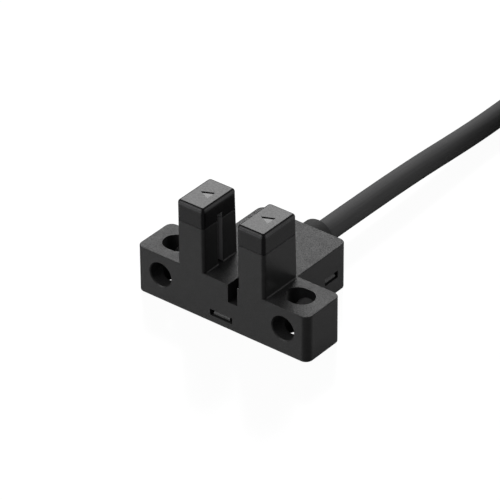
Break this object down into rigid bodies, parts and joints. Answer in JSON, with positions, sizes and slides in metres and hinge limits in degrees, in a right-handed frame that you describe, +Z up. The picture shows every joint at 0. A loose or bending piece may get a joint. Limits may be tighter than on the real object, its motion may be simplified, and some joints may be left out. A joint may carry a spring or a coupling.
{
  "type": "slot photoelectric sensor",
  "caption": "Black T-shaped slot sensor: two arms with smoky caps face each other across a detection slot, ears with fixing holes, round cable from the rear.",
  "frame": {"origin": "middle of the underside of the housing, without its cable", "axes": "+X across the slot, +Y towards the cable, +Z up along the arms"},
  "size_m": [0.0535, 0.0916, 0.0154],
  "materials": {
    "housing_black": "fine spark-eroded texture",
    "smoky_cap": "smoky, infrared-passing, satin",
    "cover_black": "fine texture",
    "board_green": "solder mask over glass laminate",
    "emitter_resin": "clear moulded resin",
    "receiver_resin": "dark moulded resin",
    "tinned_metal": "tinned",
    "solder": "bright solder",
    "chip_black": "moulded compound",
    "capacitor_tan": "ceramic",
    "lamp_white": "diffused resin",
    "collar_black": "moulded, matt",
    "cable_black": "matt sheath",
    "tie_black": "nylon band with its head",
    "tinned_copper": "tinned strands",
    "brown_insulation": "wire insulation",
    "black_insulation": "wire insulation",
    "white_insulation": "wire insulation",
    "blue_insulation": "wire insulation"
  },
  "bodies": {
    "root": {"housing": "housing_black", "left_window_cap": "smoky_cap", "right_window_cap": "smoky_cap", "bottom_cover": "cover_black", "circuit_board": "board_green", "infrared_emitter": "emitter_resin", "light_receiver": "receiver_resin", "emitter_leads": "tinned_metal", "receiver_leads": "tinned_metal", "lead_solder_joints": "solder", "core_solder_joints": "solder", "control_chip": "chip_black", "output_transistor": "chip_black", "emitter_resistor": "chip_black", "pull_up_resistor": "chip_black", "indicator_resistor": "chip_black", "supply_capacitor": "capacitor_tan", "indicator_lamp": "lamp_white", "strain_relief": "collar_black", "cable_sheath": "cable_black", "cable_coil": "cable_black", "first_coil_tie": "tie_black", "second_coil_tie": "tie_black", "tinned_tips": "tinned_copper", "brown_core": "brown_insulation", "brown_wire_end": "brown_insulation", "black_core": "black_insulation", "black_wire_end": "black_insulation", "white_core": "white_insulation", "white_wire_end": "white_insulation", "blue_core": "blue_insulation", "blue_wire_end": "blue_insulation"}
  },
  "joints": []
}
